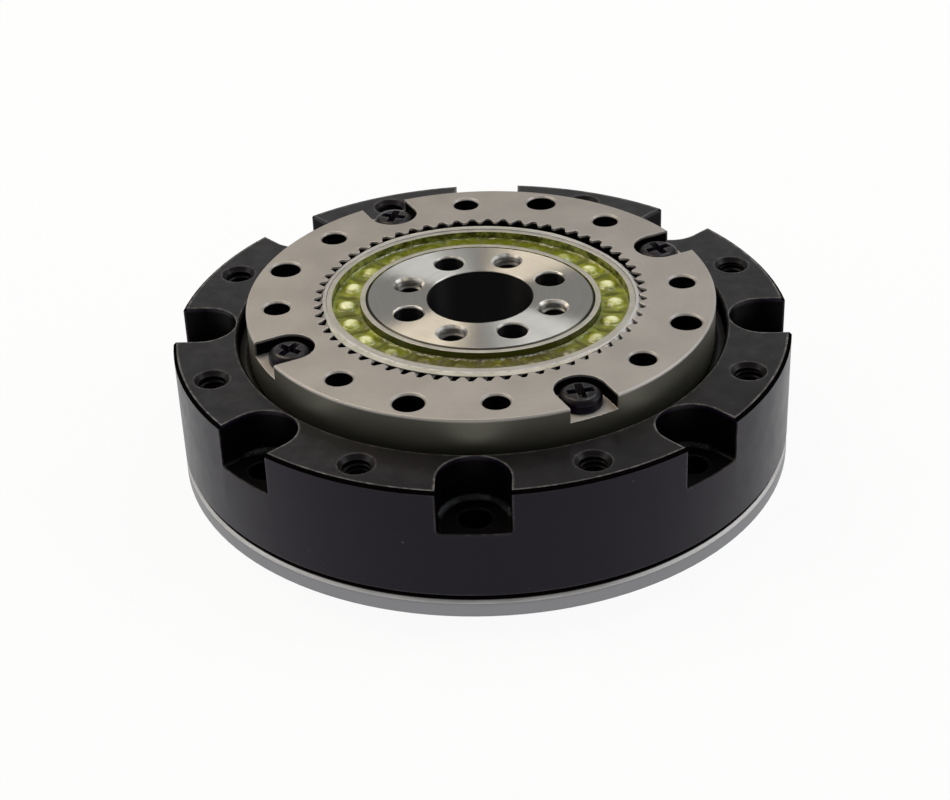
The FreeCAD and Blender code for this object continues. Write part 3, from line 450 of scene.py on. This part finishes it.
finishes = {
    "housing": blackOxide("housing_black_oxide", blackLook, **blackPieces["housing"]),
    "screw": blackOxide("screw_black_oxide", blackLook, **blackPieces["screw"]),
    "ring": ringSteel("ground_ring_steel", ringLook),
    "cup": cupSteel("cup_steel", cupLook),
    "hub": turnedSteel("turned_hub_steel", hubLook),
    "race": greasySteel("race_steel", raceLook),
    "cage": moulded("cage_nylon", "cage"),
    "spacer": moulded("spacer_nylon", "spacer"),
    "rubber": moulded("seal_rubber", "rubber"),
    "grease": greaseFinish("bearing_grease", greaseLook),
    "paste": moulded("tooth_grease", "paste"),
}
nodeFinish = {
    "housing": "housing", "circular_spline": "ring", "flexspline": "cup", "wave_generator_hub": "hub",
    "bearing_inner_ring_upper": "race", "bearing_inner_ring_lower": "race", "crossed_rollers": "race",
    "roller_spacers": "spacer", "bearing_seal": "rubber", "flange_o_ring": "rubber",
    "spline_o_ring": "rubber", "spline_screws": "screw", "flange_screws": "screw",
    "flex_bearing_outer_race": "race", "flex_bearing_inner_race": "race", "flex_bearing_balls": "race",
    "flex_bearing_cage": "cage",
}


def coat(piece, finish):
    piece.data.materials.clear()
    piece.data.materials.append(finishes[finish])


for nodeName, finish in nodeFinish.items():
    coat(nodes[nodeName], finish)
print("finishes on", len(nodeFinish), "nodes")


# pieces that the frame has only plainly, with lengths in metres

weld = 1e-7  # corners nearer than this are one


def addPiece(name, made, body, slot, finish, stands=None):  # made is a bmesh
    mesh = bpy.data.meshes.new(name)
    bmesh.ops.recalc_face_normals(made, faces=made.faces)
    made.to_mesh(mesh)
    made.free()
    piece = bpy.data.objects.new(name, mesh)
    scene.collection.objects.link(piece)
    coat(piece, finish)
    if body:
        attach(piece, body)
    if stands:
        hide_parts(stands)
    return piece


def smooth(piece, degrees=30):  # soft shading, with creases where faces meet sharply
    mesh = piece.data
    mesh.shade_smooth()
    mesh.set_sharp_from_angle(angle=math.radians(degrees))


def skin(made, rows):  # faces between neighbouring rows of corners, each row a closed outline
    wide = len(rows[0])
    for one, other in zip(rows, rows[1:]):
        for j in range(wide):
            made.faces.new((one[j], one[(j + 1) % wide], other[(j + 1) % wide], other[j]))


def capped(made, rows):  # skin with an end face on the first and last row
    skin(made, rows)
    made.faces.new(rows[0])
    made.faces.new(reversed(rows[-1]))


def lathe(profile, steps):  # closed mesh from (radius, height) pairs, turned about Z
    made = bmesh.new()
    turns = [2 * math.pi * k / steps for k in range(steps)]
    rows = []
    for radius, height in profile:
        spots = turns if radius > 0 else turns[:1]
        rows.append([made.verts.new((radius * math.cos(a), radius * math.sin(a), height)) for a in spots])
    for low, high in zip(rows, rows[1:]):
        for k in range(steps):
            corners = [row[i % len(row)] for row, i in ((low, k), (low, k + 1), (high, k + 1), (high, k))]
            made.faces.new(list(dict.fromkeys(corners)))
    return made


def copies(part, placements):  # one bmesh with the part at each placement
    whole = bmesh.new()
    for placement in placements:
        mesh = bpy.data.meshes.new("part")
        part.to_mesh(mesh)
        mesh.transform(placement)
        whole.from_mesh(mesh)
        bpy.data.meshes.remove(mesh)
    part.free()
    return whole


def roundPlaces(circle, first, turns):  # even places on a circle from a first angle in degrees, each turned
    placements = []
    for k, turn in enumerate(turns):
        angle = math.radians(first + 360 / len(turns) * k)
        spot = Vector((circle / 2 * math.cos(angle), circle / 2 * math.sin(angle), 0))
        placements.append(Matrix.Translation(spot) @ Matrix.Rotation(turn, 4, "Z"))
    return placements


# cup with the toothed rim, on an oval that turns with the wave generator in the real gear; here the piece
# stands still
cup = {
    "barrelFoot": 2.5 * mm, "blendTop": 5.8 * mm, "levels": 20, "flatSlope": 0.9999,
    "toothRoot": 17.375 * mm, "wave": 0.595 * mm, "waveTurn": math.radians(-20), "crease": math.radians(25),
}


def rimOval(angle):  # radius of the oval that the cup's teeth stand on
    return cup["toothRoot"] + cup["wave"] * math.cos(2 * (angle - cup["waveTurn"]))


def addCup(size):
    made = bmesh.new()
    made.from_mesh(nodes["flexspline"].data)
    bmesh.ops.remove_doubles(made, verts=made.verts, dist=weld)
    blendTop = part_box("flexspline")[1].z - size["blendTop"]
    for level in range(size["levels"] + 1):
        height = size["barrelFoot"] + (blendTop - size["barrelFoot"]) * level / size["levels"]
        everything = made.verts[:] + made.edges[:] + made.faces[:]
        bmesh.ops.bisect_plane(made, geom=everything, plane_co=(0, 0, height), plane_no=(0, 0, 1))
    layer = made.verts.layers.float.new("beyond")  # millimetres past the rim's oval
    for vert in made.verts:
        vert[layer] = (vert.co.to_2d().length - rimOval(math.atan2(vert.co.y, vert.co.x))) / mm
    made.normal_update()
    for edge in made.edges:  # flat faces keep a crease all round, so that they shade flat
        flat = {abs(face.normal.z) > size["flatSlope"] for face in edge.link_faces}
        edge.smooth = len(flat) == 1 and edge.calc_face_angle(0) < size["crease"]
    piece = addPiece("flexspline_cup", made, None, "cup_steel", "cup", "flexspline")
    piece.data.shade_smooth()
    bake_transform(piece)


addCup(cup)

# stiff pale grease between the cup's teeth, fuller in front, thin at the back and none at the sides
paste = {
    "drop": 0.03 * mm, "height": 0.08 * mm, "sunk": 0.25 * mm, "clear": 0.04 * mm, "steps": 240,
    "front": (0.15, 0.5, 0.78 * mm),  # sines of the angles where it starts and is full, and its reach
    "back": (0.55, 0.85, 0.31 * mm),
}


def addPaste(size):
    made = bmesh.new()
    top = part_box("flexspline")[1].z - size["drop"]
    foot = top - size["height"]
    limit = min(vert.co.to_2d().length for vert in nodes["circular_spline"].data.vertices) - size["clear"]
    rows = []
    for k in range(size["steps"]):
        angle = 2 * math.pi * k / size["steps"]
        start, full, reach = size["front"] if angle > math.pi else size["back"]
        share = min(max((abs(math.sin(angle)) - start) / (full - start), 0), 1)
        inner = rimOval(angle) - size["sunk"]
        outer = min(rimOval(angle) - size["clear"] + (reach + size["clear"]) * share, limit)
        section = ((inner, top), (outer, top), (outer, foot), (inner, foot))
        rows.append([made.verts.new((r * math.cos(angle), r * math.sin(angle), z)) for r, z in section])
    skin(made, rows + rows[:1])
    smooth(addPiece("tooth_grease", made, "wave_generator", "cup_steel", "paste"))


addPaste(paste)
print("cup ready")

# cross recess screws: pan heads on the toothed ring, countersunk ones under the flange
screw = {
    "head": 4.66 * mm, "shank": 2.46 * mm, "pitch": 0.45 * mm, "threadDepth": 0.12 * mm, "steps": 48,
    "recess": 3.0 * mm, "arm": 0.92 * mm, "recessDepth": 1.05 * mm, "taper": 0.5,
    "panHeight": 1.5 * mm, "side": 0.75 * mm, "dome": 10, "domeWidth": 1.3, "lip": 0.12 * mm,
    "panCircle": 46.7 * mm, "panFirst": 24.2, "sunkCircle": 63.4 * mm, "sunkFirst": 18.6,
    "turns": [math.radians(turn) for turn in (23, 71, 52, 8)],  # of each screw's cross
}


def crossCutter(top, size):  # tapered cross that opens upwards at a height
    made = bmesh.new()
    reach, half = size["recess"] / 2, size["arm"] / 2
    arm = [(reach, -half), (reach, half), (half, half)]
    outline = [Matrix.Rotation(math.pi / 2 * k, 2) @ Vector(corner) for k in range(4) for corner in arm]
    levels = ((top + size["recessDepth"] / 2, 1.0), (top, 1.0), (top - size["recessDepth"], size["taper"]))
    capped(made, [[made.verts.new((x * scale, y * scale, height)) for x, y in outline]
                  for height, scale in levels])
    return made


def carved(made, cutter):  # made less the cutter
    objects = []
    for name, source in (("carved", made), ("cutter", cutter)):
        mesh = bpy.data.meshes.new(name)
        bmesh.ops.recalc_face_normals(source, faces=source.faces)
        source.to_mesh(mesh)
        source.free()
        objects.append(bpy.data.objects.new(name, mesh))
        scene.collection.objects.link(objects[-1])
    tool = objects[0].modifiers.new("recess", "BOOLEAN")
    tool.object, tool.operation, tool.solver = objects[1], "DIFFERENCE", "EXACT"
    bpy.context.view_layer.update()
    mesh = bpy.data.meshes.new_from_object(objects[0].evaluated_get(bpy.context.evaluated_depsgraph_get()))
    result = bmesh.new()
    result.from_mesh(mesh)
    for used in (mesh, objects[0].data, objects[1].data):
        bpy.data.meshes.remove(used)
    return result


def threadedShank(foot, top, size):  # profile of a shank with thread ridges, from its foot up
    crest, root = size["shank"] / 2, size["shank"] / 2 - size["threadDepth"]
    ridges = int((top - foot) / size["pitch"])
    profile = [(0, foot), (root, foot)]
    for k in range(ridges):
        profile.append((crest, foot + (k + 0.5) * size["pitch"]))
        profile.append((root, foot + (k + 1) * size["pitch"]))
    return profile


def panScrew(foot, top, size):
    head = size["head"] / 2
    seat = top - size["panHeight"]
    corner = top - seat - size["side"]
    profile = threadedShank(foot, seat - size["pitch"], size) + [(size["shank"] / 2, seat), (head, seat)]
    for k in range(size["dome"] + 1):
        a = math.pi / 2 * k / size["dome"]
        inward = corner * size["domeWidth"] * (1 - math.cos(a))
        profile.append((head - inward, seat + size["side"] + corner * math.sin(a)))
    profile.append((0, top))
    return carved(lathe(profile, size["steps"]), crossCutter(top, size))


def sunkScrew(foot, top, size):  # countersunk, built upside down with the flat of its head at the foot
    lip, shank = size["lip"], size["shank"] / 2
    flat = size["head"] / 2 - lip
    cone = size["head"] / 2 - shank
    profile = [(0, -foot), (flat, -foot), (flat, -foot - lip), (shank, -foot - lip - cone)]
    ridges = threadedShank(foot + lip + cone + size["pitch"], top, size)
    profile += [(radius, -height) for radius, height in ridges[1:]] + [(0, -top)]
    return carved(lathe(profile, size["steps"]), crossCutter(-foot, size))


def addScrews(size):
    low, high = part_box("spline_screws")
    places = roundPlaces(size["panCircle"], size["panFirst"], size["turns"])
    pans = copies(panScrew(low.z, high.z, size), places)
    smooth(addPiece("spline_cross_screws", pans, "output", "screw_black", "screw", "spline_screws"))
    low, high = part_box("flange_screws")
    places = roundPlaces(size["sunkCircle"], size["sunkFirst"], size["turns"])
    flip = Matrix.Rotation(math.pi, 4, "X")
    sunk = copies(sunkScrew(low.z, high.z, size), [place @ flip for place in places])
    smooth(addPiece("flange_cross_screws", sunk, "housing", "screw_black", "screw", "flange_screws"))


addScrews(screw)
print("screws ready")

# threads in the tapped holes
threads = {
    "pitch": 0.5 * mm, "depth": 0.27 * mm, "overlap": 0.02 * mm, "steps": 28,
    "foot": 0.42, "tip": 0.06,  # half a ridge's width at the wall and at its tip, in pitches
    "turnEach": 0.7,  # radians from one hole's thread to the next
    "holes": [  # mount, body, slot, finish, first angle, mouth depth, length
        ("housing_tapped_holes", "housing", "housing_black", "housing", 18.6, 0.5 * mm, 5.2 * mm),
        ("output_tapped_holes", "output", "ring_steel", "ring", 1.7, 0.3 * mm, 4.6 * mm),
        ("hub_tapped_holes", "wave_generator", "hub_steel", "hub", 66.6, 0.3 * mm, 9.0 * mm),
    ],
}


def threadCoil(radius, top, length, size):  # one ridge that winds down inside a hole
    made = bmesh.new()
    foot, tip = size["pitch"] * size["foot"], size["pitch"] * size["tip"]
    count = int(length / size["pitch"] * size["steps"])
    outer = radius + size["overlap"]
    rows = []
    for k in range(count + 1):
        a = 2 * math.pi * k / size["steps"]
        height = top - size["pitch"] * k / size["steps"]
        inner = radius - size["depth"] * min(1, k / size["steps"], (count - k) / size["steps"])
        section = ((outer, foot), (inner, tip), (inner, -tip), (outer, -foot))
        rows.append([made.verts.new((r * math.cos(a), r * math.sin(a), height + z)) for r, z in section])
    capped(made, rows)
    return made


def addThreads(size):
    for name, body, slot, finish, first, mouth, length in size["holes"]:
        mount = mountOf(name)
        dims = mount["dims"]
        top = mount["pos_m"][2] - mouth - size["pitch"] / 2
        turns = [size["turnEach"] * k for k in range(dims["count"])]
        coils = copies(threadCoil(dims["hole_r_mm"] * mm, top, length, size),
                       roundPlaces(dims["pcd_mm"] * mm, first, turns))
        smooth(addPiece(name.replace("tapped_holes", "threads"), coils, body, slot, finish))


addThreads(threads)
print("threads ready")

# grease that lies over the balls and their cage, with the ball tops just proud of it
grease = {
    "halfWidth": 1.58 * mm, "across": 20, "perBall": 40, "film": 0.06 * mm, "foot": 1.2 * mm,
    "level": 1.36 * mm, "fill": 0.55 * mm, "soft": 0.16 * mm, "topLimit": 0.45 * mm,
    "lumps": 0.09 * mm, "lumpSize": 1.3 * mm, "lumpNoise": (0.8, 2.0, 4), "climb": 0.2 * mm, "climbPower": 6,
    "crease": 0.3 * mm, "creaseWidth": 0.3 * mm, "wanderFrom": Vector((7, 0, 0)),
    "ahead": 0.01, "sharp": 60,  # part of a ball's pitch that gives the way along, degrees that stay sharp
}


def ballCentres():  # centre of each ball, in order round the axis
    made = bmesh.new()
    made.from_mesh(nodes["flex_bearing_balls"].data)
    bmesh.ops.remove_doubles(made, verts=made.verts, dist=weld)
    left, centres = set(made.verts), []
    while left:
        ball, edge = set(), [left.pop()]
        while edge:
            vert = edge.pop()
            ball.add(vert)
            found = [link.other_vert(vert) for link in vert.link_edges]
            edge += [other for other in found if other in left]
            left.difference_update(found)
        corners = [[pick(vert.co[i] for vert in ball) for i in range(3)] for pick in (min, max)]
        centres.append((Vector(corners[0]) + Vector(corners[1])) / 2)
    made.free()
    return sorted(centres, key=lambda c: math.atan2(c.y, c.x))


def between(points, t):  # smooth closed curve through the points
    i, u = int(t), t - int(t)
    a, b, c, d = [points[(i + k) % len(points)] for k in (-1, 0, 1, 2)]
    bend = 2 * a - 5 * b + 4 * c - d
    twist = 3 * b - a - 3 * c + d
    return b + (c - a) * (u / 2) + bend * (u * u / 2) + twist * (u ** 3 / 2)


def softMax(first, second, soft):
    gap = max(soft - abs(first - second), 0) / soft
    return max(first, second) + gap * gap * soft / 4


def greaseAt(place, across, offset, fullness, balls, radius, size):  # height over the balls' middle, proud
    lump = noise.fractal(place / size["lumpSize"], *size["lumpNoise"])
    wander = noise.noise(place / size["lumpSize"] + size["wanderFrom"]) * size["creaseWidth"]
    crease = math.exp(-((offset + wander) / size["creaseWidth"]) ** 2) * (1 - fullness) * (1 - across ** 2)
    apart = min((place - ball).to_2d().length for ball in balls)
    dome = math.sqrt(max(radius ** 2 - apart ** 2, 0)) + size["film"]
    climb = size["climb"] * abs(across) ** size["climbPower"]
    level = size["level"] + fullness * size["fill"] + lump * size["lumps"] + climb
    rise = softMax(dome, level - crease * size["crease"], size["soft"])
    proud = max(0, dome - level) / (radius + size["film"] - size["level"]) - crease
    return min(rise, radius + size["topLimit"]), proud


def addGrease(size):
    centres = ballCentres()
    low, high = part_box("flex_bearing_balls")
    radius, middle = (high.z - low.z) / 2, (high.z + low.z) / 2
    made = bmesh.new()
    layer = made.verts.layers.float.new("proud")  # 1 on a ball top, 0 on the level, below 0 in a crease
    rows = []
    for k in range(len(centres) * size["perBall"]):
        t = k / size["perBall"]
        spot = between(centres, t)
        along = (between(centres, t + size["ahead"]) - spot).normalized()
        out = Vector((along.y, -along.x, 0)) * size["halfWidth"]
        balls = [centres[int(t + j) % len(centres)] for j in (0, 1)]
        fullness = abs(spot.y / spot.length) ** 2
        offset = (t % 1 - 0.5) * (balls[1] - balls[0]).length
        row = []
        for j in range(size["across"] + 1):
            across = 2 * j / size["across"] - 1
            place = spot + out * across
            rise, proud = greaseAt(place, across, offset, fullness, balls, radius, size)
            row.append(made.verts.new((place.x, place.y, middle + rise)))
            row[-1][layer] = proud
        for place in (spot + out, spot - out):
            row.append(made.verts.new((place.x, place.y, middle - size["foot"])))
        rows.append(row)
    skin(made, rows + rows[:1])
    smooth(addPiece("bearing_grease", made, "wave_generator", "bearing_steel", "grease"), size["sharp"])


addGrease(grease)
print("grease ready")


# camera and light

photoCamera = {
    "imageWidth": 950, "imageHeight": 800,  # photograph's frame in pixels
    "focalPixels": 2099.08, "centreX": 436.21, "centreY": 410.42,  # where its lens points, in those pixels
    "distance": 245.458 * mm, "side": -5.6047 * mm, "drop": 11.8364 * mm,  # drop from the black ring's top
    "elevation": math.radians(32.0712), "roll": math.radians(-2.9263),
    "sensor": 36.0, "clip": (0.01, 20),
}


def addCamera(look):
    back = Vector((0, -math.cos(look["elevation"]), math.sin(look["elevation"])))
    right = Vector((1, 0, 0))
    up = back.cross(right)
    c, s = math.cos(look["roll"]), math.sin(look["roll"])
    turned = Matrix((c * right + s * up, c * up - s * right, back)).transposed()
    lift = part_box("housing")[1].z - look["drop"]
    lens = bpy.data.cameras.new("camera")
    lens.sensor_width = look["sensor"]
    lens.lens = look["sensor"] * look["focalPixels"] / look["imageWidth"]
    lens.shift_x = (look["imageWidth"] / 2 - look["centreX"]) / look["imageWidth"]
    lens.shift_y = (look["centreY"] - look["imageHeight"] / 2) / look["imageWidth"]
    lens.clip_start, lens.clip_end = look["clip"]
    camera = bpy.data.objects.new("camera", lens)
    scene.collection.objects.link(camera)
    camera.matrix_world = turned.to_4x4()
    camera.location = back * look["distance"] + right * look["side"] + Vector((0, 0, lift))
    scene.camera = camera


studio = {
    "floor": [(0, 0), (4.0, 0), (4.6, 0.12), (5.0, 0.45)], "floorSteps": 64,  # disc whose far edge curves up
    "floorColour": (0.9, 0.9, 0.9, 1), "floorGlow": 0.92,
    "skyTop": 0.26, "skyLow": 0.42, "skySpan": (-0.1, 0.9),
    "panels": [  # name, direction to it in degrees round and up, distance, width, height, watts, colour
        ("leftPanel", 133, 61, 0.6, 0.16, 0.42, 1.15, (1.0, 0.85, 0.64)),
        ("rightPanel", 47, 62, 0.6, 0.16, 0.42, 0.63, (0.96, 0.98, 1.0)),
        ("leftSide", 177, 36, 0.6, 0.3, 0.3, 0.55, (1.0, 0.96, 0.92)),
        ("rightSide", 3, 36, 0.6, 0.3, 0.3, 0.72, (0.97, 0.98, 1.0)),
        ("leftLamp", 140, 68, 0.6, 0.05, 0.05, 0.15, (1.0, 0.96, 0.9)),
        ("rightLamp", 40, 66, 0.6, 0.05, 0.05, 0.15, (0.97, 0.99, 1.0)),
    ],
}


def addPanel(name, azimuth, height, distance, width, tall, watts, colour):
    lamp = bpy.data.lights.new(name, "AREA")
    lamp.shape, lamp.size, lamp.size_y = "RECTANGLE", width, tall
    lamp.energy, lamp.color = watts, colour
    panel = bpy.data.objects.new(name, lamp)
    scene.collection.objects.link(panel)
    a, h = math.radians(azimuth), math.radians(height)
    toward = Vector((math.cos(a) * math.cos(h), math.sin(a) * math.cos(h), math.sin(h)))
    panel.location = toward * distance
    panel.rotation_euler = toward.to_track_quat("Z", "Y").to_euler()


def addSky(look):
    world = bpy.data.worlds.new("studio")
    scene.world = world
    world.use_nodes = True
    w = Wire(world.node_tree)
    up = w.node("ShaderNodeTexCoord", output="Generated").axis(2)
    bright = look["skyLow"] + up.step(*look["skySpan"]) * (look["skyTop"] - look["skyLow"])
    w.tree.links.new(bright.socket, w.tree.nodes["Background"].inputs["Color"])


def addFloor(look):
    shape = bpy.data.meshes.new("floor")
    made = lathe(look["floor"], look["floorSteps"])
    made.to_mesh(shape)
    made.free()
    floor = bpy.data.objects.new("floor", shape)
    scene.collection.objects.link(floor)
    pale = bpy.data.materials.new("pale_floor")
    pale.use_nodes = True
    f = Wire(pale.node_tree)
    matt = f.node("ShaderNodeBsdfDiffuse", None, {"Color": look["floorColour"]})
    white = f.node("ShaderNodeEmission", None, {"Color": (1, 1, 1, 1), "Strength": 1.0})
    rays = [f.node("ShaderNodeLightPath", output=name) for name in
            ("Is Camera Ray", "Is Glossy Ray", "Is Transmission Ray")]
    share = f.sum("MINIMUM", rays[0] + rays[1] + rays[2], 1.0) * look["floorGlow"]
    mixed = f.node("ShaderNodeMixShader", None, {0: share, 1: matt, 2: white})
    f.tree.links.new(mixed.socket, f.tree.nodes["Material Output"].inputs["Surface"])
    floor.data.materials.append(pale)


addCamera(photoCamera)
for panel in studio["panels"]:
    addPanel(*panel)
addSky(studio)
addFloor(studio)
scene.view_settings.view_transform = "Standard"
print("camera and studio ready")
